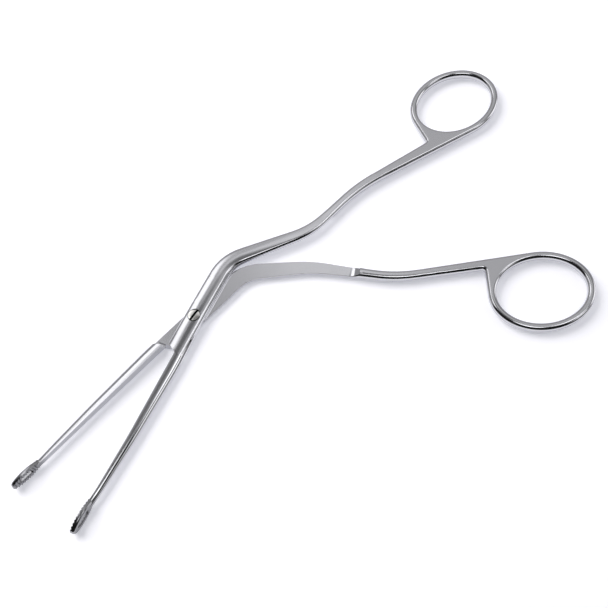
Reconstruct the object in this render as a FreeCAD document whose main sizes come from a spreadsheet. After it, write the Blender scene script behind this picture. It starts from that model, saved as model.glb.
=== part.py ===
import FreeCAD, Part
import math
import os
import Sketcher
from FreeCAD import Placement, Rotation, Vector

# Magill forceps: two steel halves that cross in a long half-lap joint, and the slotted screw they turn on.
# Each half is drawn in one working frame: the screw's axis is Z, the lap plane is z = 0, the shut jaws
# lie along -X, the half's own jaw is on the -Y side and its blade stands on the lap plane.
# The lower half is the same pattern turned over about X, with its own handle.
# Lengths are in millimetres and angles in degrees.

doc = FreeCAD.newDocument("magill_forceps")
sheet = doc.addObject("Spreadsheet::Sheet", "Sizes")

SIZES = [
    # how far the jaws stand open at rest
    ("rest_opening", 17.6),
    # blade of the lap joint, from the shoulder to the end of the lap
    ("lap_gap", 0.06),
    ("blade_width", 6.4),
    ("blade_thickness", 2.3),
    ("blade_edge_radius", 1.25),
    ("blade_even_reach", 3.0),
    ("bend_distance", 22.6),
    ("bend_radius", 14.0),
    ("nose_width", 6.8),
    ("nose_thickness", 1.9),
    ("nose_distance", 13.6),
    ("nose_corner_distance", 11.5),
    ("nose_allowance", 0.4),
    ("shoulder_clearance", 0.2),
    ("blade_end_width", 3.25),
    ("blade_end_thickness", 1.36),
    ("blade_end_radius", 0.7),
    ("blade_overlap", 1.0),
    # jaw shank, from the shoulder to the jaw ring; the outer places are told from the tip of the jaw
    ("jaw_length", 76.2),
    ("jaw_face_offset", 0.4),
    ("jaw_root_reach", 1.0),
    ("jaw_root_width", 2.6),
    ("jaw_root_thickness", 4.3),
    ("jaw_swell_distance", 18.0),
    ("jaw_swell_width", 3.3),
    ("jaw_swell_thickness", 3.4),
    ("jaw_middle_to_tip", 32.2),
    ("jaw_middle_width", 2.65),
    ("jaw_middle_thickness", 2.8),
    ("jaw_neck_to_tip", 12.2),
    ("jaw_neck_width", 1.75),
    ("jaw_neck_thickness", 2.3),
    ("jaw_end_to_tip", 9.2),
    ("jaw_end_width", 1.15),
    ("jaw_end_thickness", 2.0),
    # fenestrated jaw ring and its cross serrations
    ("jaw_ring_widest_to_tip", 5.2),
    ("jaw_ring_tip_radius", 1.7),
    ("jaw_ring_neck_height", 1.8),
    ("jaw_ring_height", 4.7),
    ("jaw_ring_thickness", 1.6),
    ("jaw_ring_face_offset", 0.03),
    ("jaw_ring_edge_radius", 0.75),
    ("jaw_hole_to_tip", 5.0),
    ("jaw_hole_length", 6.0),
    ("jaw_hole_height", 2.2),
    ("tooth_pitch", 1.0),
    ("tooth_depth", 0.35),
    ("tooth_width", 0.8),
    ("tooth_count", 10),
    ("tooth_last_to_tip", 1.0),
    # handle shanks
    ("handle_thickness", 2.9),
    ("handle_edge_radius", 0.75),
    ("handle_root_width", 3.5),
    ("lap_ramp_radius", 2.0),
    ("handle_elbow_width", 3.1),
    # upper half: knee, elbow and finger ring
    ("upper_knee_x", 44.73),
    ("upper_knee_y", -20.92),
    ("upper_knee_radius", 28.0),
    ("upper_lap_end", 7.0),
    ("upper_elbow_x", 67.33),
    ("upper_elbow_y", -28.37),
    ("upper_elbow_radius", 60.0),
    ("upper_ring_x", 114.45),
    ("upper_ring_y", -46.13),
    ("upper_ring_tilt", -26.65),
    ("upper_web_x", 94.25),
    ("upper_web_y", -43.36),
    # lower half, turned over: knee, elbow and finger ring
    ("lower_knee_x", 39.0),
    ("lower_knee_y", 15.83),
    ("lower_knee_radius", 45.0),
    ("lower_lap_end", 13.1),
    ("lower_elbow_x", 54.19),
    ("lower_elbow_y", 39.88),
    ("lower_elbow_radius", 45.0),
    ("lower_ring_x", 81.14),
    ("lower_ring_y", 78.4),
    ("lower_ring_tilt", 36.2),
    ("lower_web_x", 75.4),
    ("lower_web_y", 60.0),
    # finger rings
    ("finger_hole_length", 29.1),
    ("finger_hole_width", 23.0),
    ("finger_ring_rim", 2.7),
    ("web_fillet", 1.0),
    # pivot screw
    ("screw_head_diameter", 4.1),
    ("screw_head_depth", 0.9),
    ("screw_seat_depth", 0.6),
    ("screw_shoulder_diameter", 2.8),
    ("screw_thread_diameter", 2.4),
    ("screw_running_clearance", 0.04),
    ("screw_slot_width", 0.6),
    ("screw_slot_depth", 0.5),
    ("screw_end_chamfer", 0.2),
]

for row, (alias, value) in enumerate(SIZES, start=1):
    sheet.set("A%d" % row, alias)
    sheet.set("B%d" % row, str(value))
    sheet.setAlias("B%d" % row, alias)
doc.recompute()


def size(alias):
    """The number in the sheet's cell."""
    return float(sheet.get(alias))


def bind(owner, prop, expression):
    """Tie a property of an object to the sheet; a name in the expression is a cell's alias."""
    owner.setExpression(prop, expression)


def origin_plane(body, role):
    """The body's own base plane."""
    for feature in body.Origin.OriginFeatures:
        if feature.Role == role:
            return feature
    raise ValueError(role)


def new_sketch(body, name, role):
    """A sketch on one of the body's own base planes."""
    sketch = body.newObject("Sketcher::SketchObject", name)
    sketch.AttachmentSupport = [(origin_plane(body, role), "")]
    sketch.MapMode = "FlatFace"
    return sketch


def named(sketch, constraint, expression):
    """Add a dimension and tie it to the sheet."""
    index = sketch.addConstraint(constraint)
    bind(sketch, "Constraints[%d]" % index, expression)
    return index


def join_ends(sketch, one, other):
    """Join the ends at which two edges of a sketch meet."""
    pairs = [(sketch.getPoint(one, a).distanceToPoint(sketch.getPoint(other, b)), a, b)
             for a in (1, 2) for b in (1, 2)]
    gap, end, start = min(pairs)
    sketch.addConstraint(Sketcher.Constraint("Coincident", one, end, other, start))


def chain(sketch, edges, closed=True):
    """Add edges that follow one another and join them end to end."""
    first = sketch.GeometryCount
    for edge in edges:
        sketch.addGeometry(edge, False)
    last = first + len(edges) - 1
    for k in range(first, last):
        join_ends(sketch, k, k + 1)
    if closed:
        join_ends(sketch, last, first)


def polygon(sketch, corners):
    """Add a closed polygon."""
    ends = corners[1:] + corners[:1]
    chain(sketch, [Part.LineSegment(a, b) for a, b in zip(corners, ends)])


def blade_section(body, name, at_x, at_y, heading, width, thickness, radius):
    """A blade's section: flat on the lap plane, with two rounded outer edges. Sizes are expressions."""
    sketch = new_sketch(body, name, "YZ_Plane")
    sketch.AttachmentOffset = Placement(Vector(0, 0, 0), Rotation(Vector(0, 1, 0), 1))
    bind(sketch, ".AttachmentOffset.Base.x", at_y)
    bind(sketch, ".AttachmentOffset.Base.y", "Sizes.lap_gap / 2")
    bind(sketch, ".AttachmentOffset.Base.z", at_x)
    bind(sketch, ".AttachmentOffset.Rotation.Angle", heading)
    half, top, r = 3.0, 2.0, 1.0
    sketch.addGeometry(Part.LineSegment(Vector(-half, 0, 0), Vector(half, 0, 0)), False)
    sketch.addGeometry(Part.LineSegment(Vector(half, 0, 0), Vector(half, top - r, 0)), False)
    right = Part.Circle(Vector(half - r, top - r, 0), Vector(0, 0, 1), r)
    sketch.addGeometry(Part.ArcOfCircle(right, 0, math.pi / 2), False)
    sketch.addGeometry(Part.LineSegment(Vector(half - r, top, 0), Vector(r - half, top, 0)), False)
    left = Part.Circle(Vector(r - half, top - r, 0), Vector(0, 0, 1), r)
    sketch.addGeometry(Part.ArcOfCircle(left, math.pi / 2, math.pi), False)
    sketch.addGeometry(Part.LineSegment(Vector(-half, top - r, 0), Vector(-half, 0, 0)), False)
    base, side, corner, crown, far_corner, far_side = range(6)
    sketch.addConstraint([
        Sketcher.Constraint("Coincident", base, 2, side, 1),
        Sketcher.Constraint("Tangent", side, 2, corner, 1),
        Sketcher.Constraint("Tangent", corner, 2, crown, 1),
        Sketcher.Constraint("Tangent", crown, 2, far_corner, 1),
        Sketcher.Constraint("Tangent", far_corner, 2, far_side, 1),
        Sketcher.Constraint("Coincident", far_side, 2, base, 1),
        Sketcher.Constraint("Horizontal", base),
        Sketcher.Constraint("Vertical", side),
        Sketcher.Constraint("Vertical", far_side),
        Sketcher.Constraint("Horizontal", crown),
        Sketcher.Constraint("Equal", corner, far_corner),
        Sketcher.Constraint("PointOnObject", base, 1, -1),
    ])
    named(sketch, Sketcher.Constraint("DistanceX", base, 1, base, 2, 2 * half), width)
    named(sketch, Sketcher.Constraint("DistanceX", base, 1, -1, 1, half), width + " / 2")
    named(sketch, Sketcher.Constraint("DistanceY", base, 2, crown, 1, top),
          thickness + " - Sizes.lap_gap / 2")
    named(sketch, Sketcher.Constraint("Radius", corner, r), radius)
    return sketch


def jaw_section(body, name, at_x, width, thickness):
    """A jaw shank's section: flat on the inner side, round on the outer side. Sizes are expressions."""
    sketch = new_sketch(body, name, "YZ_Plane")
    bind(sketch, ".AttachmentOffset.Base.x", "-Sizes.jaw_face_offset")
    bind(sketch, ".AttachmentOffset.Base.z", at_x)
    run, r = 1.0, 1.5
    sketch.addGeometry(Part.LineSegment(Vector(0, -r, 0), Vector(0, r, 0)), False)
    sketch.addGeometry(Part.LineSegment(Vector(0, r, 0), Vector(-run, r, 0)), False)
    back = Part.Circle(Vector(-run, 0, 0), Vector(0, 0, 1), r)
    sketch.addGeometry(Part.ArcOfCircle(back, math.pi / 2, 3 * math.pi / 2), False)
    sketch.addGeometry(Part.LineSegment(Vector(-run, -r, 0), Vector(0, -r, 0)), False)
    inner, top, outer, bottom = range(4)
    sketch.addConstraint([
        Sketcher.Constraint("Coincident", inner, 2, top, 1),
        Sketcher.Constraint("Tangent", top, 2, outer, 1),
        Sketcher.Constraint("Tangent", outer, 2, bottom, 1),
        Sketcher.Constraint("Coincident", bottom, 2, inner, 1),
        Sketcher.Constraint("Horizontal", top),
        Sketcher.Constraint("Vertical", inner),
        Sketcher.Constraint("Symmetric", inner, 1, inner, 2, -1, 1),
    ])
    named(sketch, Sketcher.Constraint("DistanceY", inner, 1, inner, 2, 2 * r), thickness)
    named(sketch, Sketcher.Constraint("DistanceX", outer, 3, inner, 2, run),
          "%s - %s / 2" % (width, thickness))
    return sketch


def slot_outline(sketch, length, height, middle):
    """A long hole's outline, two lines and two half circles, lying along the sketch's first axis."""
    first = sketch.GeometryCount
    half, r = 3.0, 1.0
    sketch.addGeometry(Part.LineSegment(Vector(-half, -r, 0), Vector(half, -r, 0)), False)
    right = Part.Circle(Vector(half, 0, 0), Vector(0, 0, 1), r)
    sketch.addGeometry(Part.ArcOfCircle(right, -math.pi / 2, math.pi / 2), False)
    sketch.addGeometry(Part.LineSegment(Vector(half, r, 0), Vector(-half, r, 0)), False)
    left = Part.Circle(Vector(-half, 0, 0), Vector(0, 0, 1), r)
    sketch.addGeometry(Part.ArcOfCircle(left, math.pi / 2, 3 * math.pi / 2), False)
    under, right_end, over, left_end = range(first, first + 4)
    sketch.addConstraint([
        Sketcher.Constraint("Tangent", under, 2, right_end, 1),
        Sketcher.Constraint("Tangent", right_end, 2, over, 1),
        Sketcher.Constraint("Tangent", over, 2, left_end, 1),
        Sketcher.Constraint("Tangent", left_end, 2, under, 1),
        Sketcher.Constraint("Horizontal", under),
        Sketcher.Constraint("Equal", right_end, left_end),
        Sketcher.Constraint("PointOnObject", right_end, 3, -1),
    ])
    named(sketch, Sketcher.Constraint("Radius", right_end, r), "%s / 2" % height)
    named(sketch, Sketcher.Constraint("DistanceX", left_end, 3, right_end, 3, 2 * half),
          "%s - %s" % (length, height))
    named(sketch, Sketcher.Constraint("DistanceX", right_end, 3, -1, 1, 1.0),
          "%s - (%s - %s) / 2" % (middle, length, height))


def heading_of(start, end):
    """The direction from one point to another."""
    return math.degrees(math.atan2(end.y - start.y, end.x - start.x))


def rounded_corner(before, corner, after, radius):
    """The tangent arc that rounds a corner: its start, its middle and its end."""
    back = (before - corner).normalize()
    ahead = (after - corner).normalize()
    half_angle = back.getAngle(ahead) / 2
    setback = radius / math.tan(half_angle)
    bisector = (back + ahead).normalize()
    centre = corner + bisector * (radius / math.sin(half_angle))
    return corner + back * setback, centre - bisector * radius, corner + ahead * setback


def left_of(start, end):
    """The unit vector to the left of the way from one point to another."""
    ahead = (end - start).normalize()
    return Vector(-ahead.y, ahead.x, 0)


def mitre(before, corner, after, distance):
    """The corner of a line that runs at a distance to the left of two runs."""
    first = left_of(before, corner)
    second = left_of(corner, after)
    bisector = (first + second).normalize()
    return corner + bisector * (distance / bisector.dot(first))


def ellipse_tangent(centre, tilt, long_half, short_half, outside, side):
    """The angle on an ellipse where the line from an outside point touches it."""
    turned = Rotation(Vector(0, 0, 1), -tilt).multVec(outside - centre)
    reach = math.hypot(turned.x / long_half, turned.y / short_half)
    around = math.atan2(turned.y / short_half, turned.x / long_half)
    return around + side * math.acos(1 / reach)


def arm_points(prefix):
    """The corners of a half's centre line."""
    bend = Vector(size("bend_distance"), 0, 0)
    knee = Vector(size(prefix + "_knee_x"), size(prefix + "_knee_y"), 0)
    elbow = Vector(size(prefix + "_elbow_x"), size(prefix + "_elbow_y"), 0)
    ahead = (elbow - knee).normalize()
    lap_end = knee + ahead * size(prefix + "_lap_end")
    return bend, knee, elbow, lap_end, ahead


def handle_plan(body, prefix):
    """The handle's plan: shank, web and finger ring in one outline, and the finger hole."""
    bend, knee, elbow, lap_end, ahead = arm_points(prefix)
    web = Vector(size(prefix + "_web_x"), size(prefix + "_web_y"), 0)
    centre = Vector(size(prefix + "_ring_x"), size(prefix + "_ring_y"), 0)
    tilt = size(prefix + "_ring_tilt")
    hole_long = size("finger_hole_length") / 2
    hole_short = size("finger_hole_width") / 2
    ring_long = hole_long + size("finger_ring_rim")
    ring_short = hole_short + size("finger_ring_rim")
    root_half = size("handle_root_width") / 2
    elbow_half = size("handle_elbow_width") / 2
    radius = size(prefix + "_elbow_radius")
    left = left_of(knee, elbow)
    root_left = lap_end + left * root_half
    root_right = lap_end - left * root_half
    elbow_left = mitre(lap_end, elbow, web, elbow_half)
    elbow_right = mitre(lap_end, elbow, web, -elbow_half)
    touch_right = ellipse_tangent(centre, tilt, ring_long, ring_short, elbow_right, 1)
    touch_left = ellipse_tangent(centre, tilt, ring_long, ring_short, web, -1)
    turn = Rotation(Vector(0, 0, 1), tilt)

    def ellipse(long_half, short_half):
        return Part.Ellipse(centre + turn.multVec(Vector(long_half, 0, 0)),
                            centre + turn.multVec(Vector(0, short_half, 0)), centre)

    rim = Part.ArcOfEllipse(ellipse(ring_long, ring_short), touch_right, touch_left + 2 * math.pi)
    right_touch = rim.StartPoint
    left_touch = rim.EndPoint
    r1, r2, r3 = rounded_corner(root_right, elbow_right, right_touch, radius)
    w1, w2, w3 = rounded_corner(left_touch, web, elbow_left, size("web_fillet"))
    l1, l2, l3 = rounded_corner(web, elbow_left, root_left, radius)
    sketch = new_sketch(body, "HandlePlan", "XY_Plane")
    chain(sketch, [
        Part.LineSegment(root_right, r1),
        Part.Arc(r1, r2, r3),
        Part.LineSegment(r3, right_touch),
        rim,
        Part.LineSegment(left_touch, w1),
        Part.Arc(w1, w2, w3),
        Part.LineSegment(w3, l1),
        Part.Arc(l1, l2, l3),
        Part.LineSegment(l3, root_left),
        Part.LineSegment(root_left, root_right),
    ])
    sketch.addGeometry(ellipse(hole_long, hole_short), False)
    return sketch


def cut_checked(feature, before):
    """Make sure that a cut took something away."""
    doc.recompute()
    if feature.Shape.Volume >= before - 1e-4:
        raise RuntimeError(feature.Name + " cuts nothing")


def build_half(label, prefix):
    """One half of the forceps: handle, blade, jaw shank and jaw ring."""
    body = doc.addObject("PartDesign::Body", label)
    body.Label = label

    # handle with its finger ring
    plan = handle_plan(body, prefix)
    handle = body.newObject("PartDesign::Pad", "Handle")
    handle.Profile = plan
    handle.Midplane = True
    bind(handle, "Length", "Sizes.handle_thickness")
    doc.recompute()
    bend, knee, elbow, lap_end, ahead = arm_points(prefix)
    level = size("handle_thickness") / 2
    edges = []
    for number, edge in enumerate(handle.Shape.Edges, start=1):
        ends = [v.Point for v in edge.Vertexes]
        flat = abs(abs(edge.CenterOfMass.z) - level) < 1e-6
        at_root = all(abs((p - lap_end).dot(ahead)) < 1e-6 for p in ends)
        if flat and not at_root:
            edges.append("Edge%d" % number)
    rounding = body.newObject("PartDesign::Fillet", "HandleRounding")
    rounding.Base = (handle, edges)
    bind(rounding, "Radius", "Sizes.handle_edge_radius")
    doc.recompute()

    # jaw ring: two long side arcs that leave the neck and meet in a rounded tip
    jaw_plan = new_sketch(body, "JawRingPlan", "XZ_Plane")
    bind(jaw_plan, ".AttachmentOffset.Base.z", "Sizes.jaw_ring_face_offset")
    crest = size("jaw_ring_height") / 2
    tip_radius = size("jaw_ring_tip_radius")
    widest = size("jaw_length") - size("jaw_ring_widest_to_tip")
    run = size("jaw_length") - tip_radius - widest
    side_radius = (run ** 2 + crest ** 2 - tip_radius ** 2) / (2 * (crest - tip_radius))
    depth = side_radius - crest
    neck_half = size("jaw_ring_neck_height") / 2
    neck_run = math.sqrt(side_radius ** 2 - (depth + neck_half) ** 2)
    span = side_radius - tip_radius
    touch = Vector(-widest - run * side_radius / span, -depth + depth * side_radius / span, 0)
    neck_top = Vector(neck_run - widest, neck_half, 0)

    def below(point):
        return Vector(point.x, -point.y, 0)

    crest_top = Vector(-widest, crest, 0)
    chain(jaw_plan, [
        Part.LineSegment(below(neck_top), neck_top),
        Part.Arc(neck_top, crest_top, touch),
        Part.Arc(touch, Vector(-size("jaw_length"), 0, 0), below(touch)),
        Part.Arc(below(touch), below(crest_top), below(neck_top)),
    ])
    slot_outline(jaw_plan, "Sizes.jaw_hole_length", "Sizes.jaw_hole_height",
                 "Sizes.jaw_length - Sizes.jaw_hole_to_tip")
    jaw_ring = body.newObject("PartDesign::Pad", "JawRing")
    jaw_ring.Profile = jaw_plan
    bind(jaw_ring, "Length", "Sizes.jaw_ring_thickness")
    doc.recompute()
    outside = -size("jaw_ring_face_offset") - size("jaw_ring_thickness")
    ring_edges = []
    for number, edge in enumerate(jaw_ring.Shape.Edges, start=1):
        box = edge.BoundBox
        on_outside = abs(box.YMin - outside) < 1e-4 and abs(box.YMax - outside) < 1e-4
        in_hole = box.ZLength < size("jaw_hole_height") + 0.1
        if on_outside and not in_hole:
            ring_edges.append("Edge%d" % number)
    softening = body.newObject("PartDesign::Fillet", "JawRingRounding")
    softening.Base = (jaw_ring, ring_edges)
    bind(softening, "Radius", "Sizes.jaw_ring_edge_radius")
    doc.recompute()

    # blade: even over the pivot, thinner towards the shoulder, and narrower towards the end of the lap
    setback = size("bend_radius") * math.tan(math.radians(abs(heading_of(bend, knee))) / 2)
    bend_start = bend - Vector(setback, 0, 0)
    back = blade_section(body, "BladeAtBend", "%.6f" % bend_start.x, "0", "0",
                         "Sizes.blade_width", "Sizes.blade_thickness", "Sizes.blade_edge_radius")
    even = blade_section(body, "BladeAtPivot", "Sizes.blade_even_reach", "0", "0",
                         "Sizes.blade_width", "Sizes.blade_thickness", "Sizes.blade_edge_radius")
    nose = blade_section(body, "BladeAtNose", "-Sizes.nose_distance - Sizes.nose_allowance", "0", "0",
                         "Sizes.nose_width", "Sizes.nose_thickness", "Sizes.blade_edge_radius")
    front = body.newObject("PartDesign::AdditiveLoft", "BladeFront")
    front.Profile = back
    front.Sections = [even, nose]
    front.Ruled = True
    doc.recompute()

    tail_at = lap_end + ahead * size("blade_overlap")
    b1, b2, b3 = rounded_corner(Vector(0, 0, 0), bend, knee, size("bend_radius"))
    k1, k2, k3 = rounded_corner(bend, knee, tail_at, size(prefix + "_knee_radius"))
    way = new_sketch(body, "BladeWay", "XY_Plane")
    way.AttachmentOffset = Placement(Vector(0, 0, size("lap_gap") / 2), Rotation())
    bind(way, ".AttachmentOffset.Base.z", "Sizes.lap_gap / 2")
    chain(way, [
        Part.Arc(b1, b2, b3),
        Part.LineSegment(b3, k1),
        Part.Arc(k1, k2, k3),
        Part.LineSegment(k3, tail_at),
    ], closed=False)
    start_section = blade_section(body, "BladeAtArc", "%.6f" % bend_start.x, "0", "0",
                                  "Sizes.blade_width", "Sizes.blade_thickness", "Sizes.blade_edge_radius")
    tail_section = blade_section(body, "BladeAtTail", "%.6f" % tail_at.x, "%.6f" % tail_at.y,
                                 "%.6f" % heading_of(knee, elbow), "Sizes.blade_end_width",
                                 "Sizes.blade_end_thickness", "Sizes.blade_end_radius")
    doc.recompute()
    tail = body.newObject("PartDesign::AdditivePipe", "BladeTail")
    tail.Profile = start_section
    tail.Spine = (way, [])
    tail.Transformation = "Multisection"
    tail.Sections = [tail_section]
    tail.Mode = "Binormal"
    tail.Binormal = Vector(0, 0, 1)
    doc.recompute()

    # jaw shank
    root = jaw_section(body, "JawRoot", "Sizes.jaw_root_reach", "Sizes.jaw_root_width",
                       "Sizes.jaw_root_thickness")
    swell = jaw_section(body, "JawSwell", "-Sizes.jaw_swell_distance", "Sizes.jaw_swell_width",
                        "Sizes.jaw_swell_thickness")
    middle = jaw_section(body, "JawMiddle", "Sizes.jaw_middle_to_tip - Sizes.jaw_length",
                         "Sizes.jaw_middle_width", "Sizes.jaw_middle_thickness")
    neck = jaw_section(body, "JawNeck", "Sizes.jaw_neck_to_tip - Sizes.jaw_length",
                       "Sizes.jaw_neck_width", "Sizes.jaw_neck_thickness")
    end = jaw_section(body, "JawEnd", "Sizes.jaw_end_to_tip - Sizes.jaw_length",
                      "Sizes.jaw_end_width", "Sizes.jaw_end_thickness")
    shank = body.newObject("PartDesign::AdditiveLoft", "JawShank")
    shank.Profile = root
    shank.Sections = [swell, middle, neck, end]
    shank.Ruled = True
    doc.recompute()

    # room under the blade for the other half, up to the shoulder wall
    reach = 2 * size("blade_width")
    nose_tip = size("nose_distance") + size("shoulder_clearance")
    nose_corner = size("nose_corner_distance") + size("shoulder_clearance")
    slant = (nose_tip - nose_corner) / (size("nose_width") / 2)
    room = new_sketch(body, "LapRoom", "XY_Plane")
    bind(room, ".AttachmentOffset.Base.z", "Sizes.lap_gap / 2")
    behind = nose_tip + size("nose_allowance")
    polygon(room, [Vector(-nose_tip + slant * reach / 2, -reach / 2, 0), Vector(reach, -reach / 2, 0),
                   Vector(reach, reach / 2, 0), Vector(-behind, reach / 2, 0),
                   Vector(-behind, 0, 0), Vector(-nose_tip, 0, 0)])
    relief = body.newObject("PartDesign::Pocket", "LapRelief")
    relief.Profile = room
    bind(relief, "Length", "2 * Sizes.blade_width")
    cut_checked(relief, shank.Shape.Volume)

    # slanted nose of the blade, which meets the other half's shoulder wall when the jaws shut
    tip = size("nose_distance")
    lean = (tip - size("nose_corner_distance")) / (size("nose_width") / 2)
    inner = size("jaw_face_offset")
    clip = new_sketch(body, "NoseClip", "XY_Plane")
    polygon(clip, [Vector(-tip - lean * inner, -inner, 0), Vector(-tip + lean * reach / 2, reach / 2, 0),
                   Vector(-tip - reach, reach / 2, 0), Vector(-tip - reach, -inner, 0)])
    nose_cut = body.newObject("PartDesign::Pocket", "NoseCut")
    nose_cut.Profile = clip
    bind(nose_cut, "Length", "2 * Sizes.blade_width")
    nose_cut.Reversed = True
    cut_checked(nose_cut, relief.Shape.Volume)

    # round ramp at the end of the lap, from the flat up to the full thickness of the shank
    flat = size("lap_gap") / 2
    under = size("handle_thickness") / 2
    ramp_radius = size("lap_ramp_radius")
    drop = under + flat
    ramp_length = math.sqrt(ramp_radius ** 2 - (ramp_radius - drop) ** 2)
    middle_angle = math.atan2(ramp_radius - drop, ramp_length) / 2 + math.pi / 4
    arc_middle = Vector(ramp_radius * math.cos(middle_angle),
                        flat - ramp_radius + ramp_radius * math.sin(middle_angle), 0)
    profile = new_sketch(body, "LapRampProfile", "XZ_Plane")
    profile.AttachmentOffset = Placement(Vector(lap_end.x, 0, -lap_end.y),
                                         Rotation(Vector(0, 1, 0), heading_of(knee, elbow)))
    top, foot = Vector(0, flat, 0), Vector(ramp_length, -under, 0)
    chain(profile, [
        Part.Arc(top, arc_middle, foot),
        Part.LineSegment(foot, Vector(ramp_length, -2 * under, 0)),
        Part.LineSegment(Vector(ramp_length, -2 * under, 0), Vector(-under, -2 * under, 0)),
        Part.LineSegment(Vector(-under, -2 * under, 0), Vector(-under, flat, 0)),
        Part.LineSegment(Vector(-under, flat, 0), top),
    ])
    ramp = body.newObject("PartDesign::Pocket", "LapRamp")
    ramp.Profile = profile
    ramp.Midplane = True
    bind(ramp, "Length", "2 * Sizes.blade_width")
    cut_checked(ramp, nose_cut.Shape.Volume)

    # cross serrations on the gripping face of the jaw ring
    face = -size("jaw_ring_face_offset")
    half = size("tooth_width") / 2
    first = size("tooth_last_to_tip") + size("tooth_pitch") * (size("tooth_count") - 1) - size("jaw_length")
    notch = new_sketch(body, "NotchProfile", "XY_Plane")
    polygon(notch, [Vector(first - half, face, 0), Vector(first, face - size("tooth_depth"), 0),
                    Vector(first + half, face, 0), Vector(first, -face, 0)])
    groove = body.newObject("PartDesign::Pocket", "Notch")
    groove.Profile = notch
    groove.Midplane = True
    bind(groove, "Length", "2 * Sizes.jaw_ring_height")
    cut_checked(groove, ramp.Shape.Volume)
    rows = body.newObject("PartDesign::LinearPattern", "Serrations")
    rows.Originals = [groove]
    rows.Direction = (notch, ["H_Axis"])
    rows.Reversed = True
    bind(rows, "Length", "Sizes.tooth_pitch * (Sizes.tooth_count - 1)")
    bind(rows, "Occurrences", "Sizes.tooth_count")
    body.Tip = rows
    cut_checked(rows, groove.Shape.Volume)
    return body


def bore(body, name, radius, start, length):
    """A round pocket about the pivot axis that starts at a height and goes up. Sizes are expressions."""
    before = body.Tip.Shape.Volume
    sketch = new_sketch(body, name + "Circle", "XY_Plane")
    bind(sketch, ".AttachmentOffset.Base.z", start)
    circle = sketch.addGeometry(Part.Circle(Vector(0, 0, 0), Vector(0, 0, 1), 1), False)
    sketch.addConstraint(Sketcher.Constraint("Coincident", circle, 3, -1, 1))
    named(sketch, Sketcher.Constraint("Radius", circle, 1), radius)
    pocket = body.newObject("PartDesign::Pocket", name)
    pocket.Profile = sketch
    pocket.Reversed = True
    bind(pocket, "Length", length)
    cut_checked(pocket, before)
    return pocket


upper = build_half("upper_half", "upper")
bore(upper, "PivotBore", "Sizes.screw_shoulder_diameter / 2 + Sizes.screw_running_clearance",
     "0", "Sizes.blade_thickness + 1")
bore(upper, "HeadSeat", "Sizes.screw_head_diameter / 2 + Sizes.screw_running_clearance",
     "Sizes.blade_thickness - Sizes.screw_head_depth - Sizes.screw_running_clearance",
     "Sizes.screw_head_depth + 1")

lower = build_half("lower_half", "lower")
bore(lower, "ThreadHole", "Sizes.screw_thread_diameter / 2", "0", "Sizes.blade_thickness + 1")
bore(lower, "ShoulderSeat", "Sizes.screw_shoulder_diameter / 2", "0", "Sizes.screw_seat_depth")

# pivot screw: flush head in the upper half, running shoulder, thread in the lower half
screw = doc.addObject("PartDesign::Body", "pivot_screw")
screw.Label = "pivot_screw"
head_top = size("blade_thickness")
head_under = head_top - size("screw_head_depth")
head_radius = size("screw_head_diameter") / 2
shoulder_radius = size("screw_shoulder_diameter") / 2
thread_radius = size("screw_thread_diameter") / 2
chamfer = size("screw_end_chamfer")
seat = -size("screw_seat_depth")
tip = -size("blade_thickness")
turned = new_sketch(screw, "ScrewProfile", "XZ_Plane")
polygon(turned, [
    Vector(0, tip, 0), Vector(thread_radius - chamfer, tip, 0), Vector(thread_radius, tip + chamfer, 0),
    Vector(thread_radius, seat, 0), Vector(shoulder_radius, seat, 0), Vector(shoulder_radius, head_under, 0),
    Vector(head_radius, head_under, 0), Vector(head_radius, head_top - chamfer, 0),
    Vector(head_radius - chamfer, head_top, 0), Vector(0, head_top, 0),
])
turning = screw.newObject("PartDesign::Revolution", "ScrewTurning")
turning.Profile = turned
turning.ReferenceAxis = (turned, ["V_Axis"])
turning.Angle = 360
doc.recompute()
slot = new_sketch(screw, "SlotPlan", "XY_Plane")
bind(slot, ".AttachmentOffset.Base.z", "Sizes.blade_thickness")
across = size("screw_slot_width") / 2
polygon(slot, [Vector(-2 * head_radius, -across, 0), Vector(2 * head_radius, -across, 0),
               Vector(2 * head_radius, across, 0), Vector(-2 * head_radius, across, 0)])
slot_cut = screw.newObject("PartDesign::Pocket", "DriverSlot")
slot_cut.Profile = slot
bind(slot_cut, "Length", "Sizes.screw_slot_depth")
cut_checked(slot_cut, turning.Shape.Volume)

# the jaws stand evenly about -X, and the whole stands on z = 0 about the middle of its box
upper.Placement = Placement(Vector(0, 0, 0), Rotation(Vector(0, 0, 1), 1))
bind(upper, ".Placement.Rotation.Angle", "Sizes.rest_opening / 2")
turned_over = Rotation(Vector(1, 0, 0), 180)
lower.Placement = Placement(Vector(0, 0, 0),
                            Rotation(Vector(0, 0, 1), -size("rest_opening") / 2) * turned_over)
doc.recompute()
box = FreeCAD.BoundBox()
for body in (upper, lower, screw):
    box.add(body.Shape.optimalBoundingBox(False, False))
pivot = Vector(-(box.XMin + box.XMax) / 2, -(box.YMin + box.YMax) / 2, -box.ZMin)
for body in (upper, lower, screw):
    body.Placement = Placement(pivot, body.Placement.Rotation)
doc.recompute()

for item in doc.Objects:
    if "Invalid" in item.State or "Error" in item.State:
        raise RuntimeError(item.Name + " failed: " + str(item.State))
os.makedirs("parts", exist_ok=True)
for body in (upper, lower, screw):
    shape = body.Shape
    if shape.isNull() or not shape.isValid() or len(shape.Solids) != 1:
        raise RuntimeError(body.Label + " isn't one valid solid")
    print(body.Label, round(shape.Volume, 2), shape.optimalBoundingBox(False, False))
    shape.exportStep("parts/%s.step" % body.Label)
print("pivot at", pivot)
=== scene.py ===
import math

import bmesh
import bpy
from mathutils import Euler, Matrix, Vector
from mathutils.geometry import tessellate_polygon


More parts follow.
